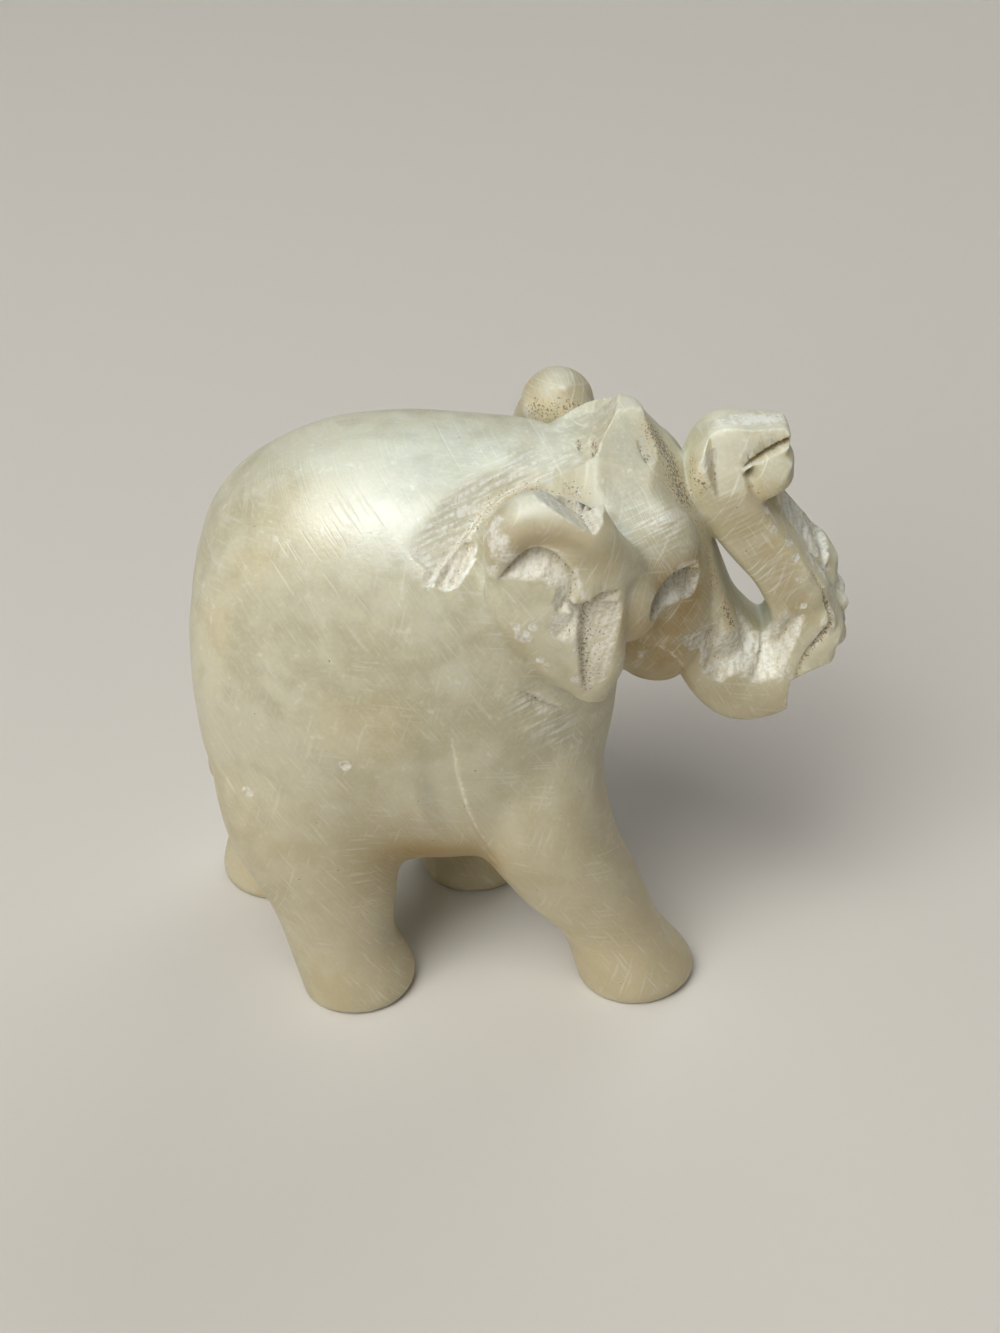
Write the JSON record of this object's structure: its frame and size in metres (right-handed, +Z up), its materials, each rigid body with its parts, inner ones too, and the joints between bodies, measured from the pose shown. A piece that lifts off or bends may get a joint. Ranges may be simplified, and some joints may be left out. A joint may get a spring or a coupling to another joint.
{
  "type": "carved stone elephant figurine",
  "caption": "Small hand-carved soapstone elephant in mid-stride, standing on its own feet, trunk curled up against its forehead.",
  "frame": {"origin": "on the ground, under the middle of the carving's box", "axes": "+X from tail to head, +Y to the animal's left, +Z up"},
  "size_m": [0.0603, 0.0306, 0.0574],
  "materials": {
    "soapstone": "hand-rubbed satin with chalky tool marks"
  },
  "bodies": {
    "root": {"elephant": "soapstone"}
  },
  "joints": []
}
